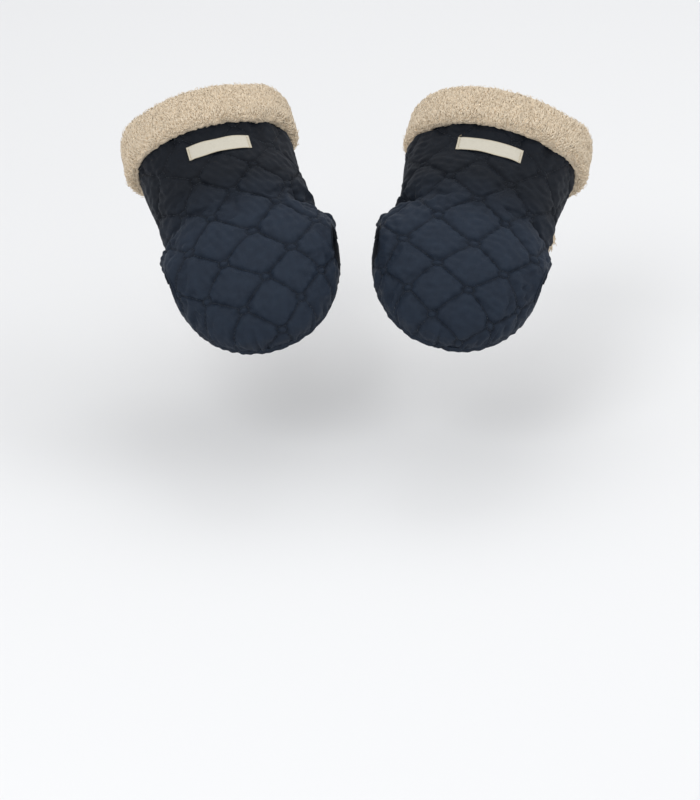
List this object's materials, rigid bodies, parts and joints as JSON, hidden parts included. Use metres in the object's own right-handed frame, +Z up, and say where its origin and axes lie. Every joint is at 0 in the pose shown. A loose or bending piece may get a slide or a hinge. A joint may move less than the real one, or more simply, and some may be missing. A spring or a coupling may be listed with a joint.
{
  "type": "stroller hand muff",
  "caption": "Pair of quilted hand muffs for a pram handlebar, with curly pile lining and turned-out cuffs, side passages for the bar and a snap-fastened flap under each.",
  "frame": {"origin": "on the handlebar's axis, midway between the two muffs", "axes": "+X along the handlebar to the right of someone who faces the closed ends, +Y towards the mouths and the person pushing, +Z up"},
  "size_m": [0.4696, 0.2854, 0.1993],
  "materials": {
    "quilted_cotton": "navy cotton, quilted in diamonds, matt with a faint sheen",
    "wadding": "white polyester wadding",
    "pile_lining": "cream curly pile",
    "pile_band": "cream curly pile",
    "label_cotton": "plain off-white woven label, bare",
    "snap_tape": "navy woven tape",
    "nickel": "satin nickel"
  },
  "bodies": {
    "left_muff": {"left_top_shell": "quilted_cotton", "left_top_wadding": "wadding", "left_top_lining": "pile_lining", "left_palm_shell": "quilted_cotton", "left_palm_wadding": "wadding", "left_palm_lining": "pile_lining", "left_cuff_band": "pile_band", "left_label": "label_cotton", "left_top_snap_tape": "snap_tape", "left_stud_1": "nickel", "left_stud_2": "nickel", "left_stud_3": "nickel", "left_stud_4": "nickel", "left_stud_5": "nickel"},
    "left_flap": {"left_flap_shell": "quilted_cotton", "left_flap_wadding": "wadding", "left_flap_lining": "pile_lining", "left_flap_snap_tape": "snap_tape", "left_socket_1": "nickel", "left_socket_2": "nickel", "left_socket_3": "nickel", "left_socket_4": "nickel", "left_socket_5": "nickel"},
    "right_muff": {"right_top_shell": "quilted_cotton", "right_top_wadding": "wadding", "right_top_lining": "pile_lining", "right_palm_shell": "quilted_cotton", "right_palm_wadding": "wadding", "right_palm_lining": "pile_lining", "right_cuff_band": "pile_band", "right_label": "label_cotton", "right_top_snap_tape": "snap_tape", "right_stud_1": "nickel", "right_stud_2": "nickel", "right_stud_3": "nickel", "right_stud_4": "nickel", "right_stud_5": "nickel"},
    "right_flap": {"right_flap_shell": "quilted_cotton", "right_flap_wadding": "wadding", "right_flap_lining": "pile_lining", "right_flap_snap_tape": "snap_tape", "right_socket_1": "nickel", "right_socket_2": "nickel", "right_socket_3": "nickel", "right_socket_4": "nickel", "right_socket_5": "nickel"}
  },
  "joints": [
    {"name": "left_flap_hinge", "type": "hinge", "parent": "left_muff", "child": "left_flap", "pos_m": [-0.10805, 0.05952, -0.02258], "axis": [0.9655, 0.1101, 0.2361], "range_deg": [0, 100]},
    {"name": "right_muff_slide", "type": "slide", "parent": "left_muff", "child": "right_muff", "axis": [0.9655, -0.1101, -0.2361], "range_m": [-0.02, 0.03]},
    {"name": "right_flap_hinge", "type": "hinge", "parent": "right_muff", "child": "right_flap", "pos_m": [0.10805, 0.05952, -0.02258], "axis": [0.9655, -0.1101, -0.2361], "range_deg": [0, 100]}
  ]
}
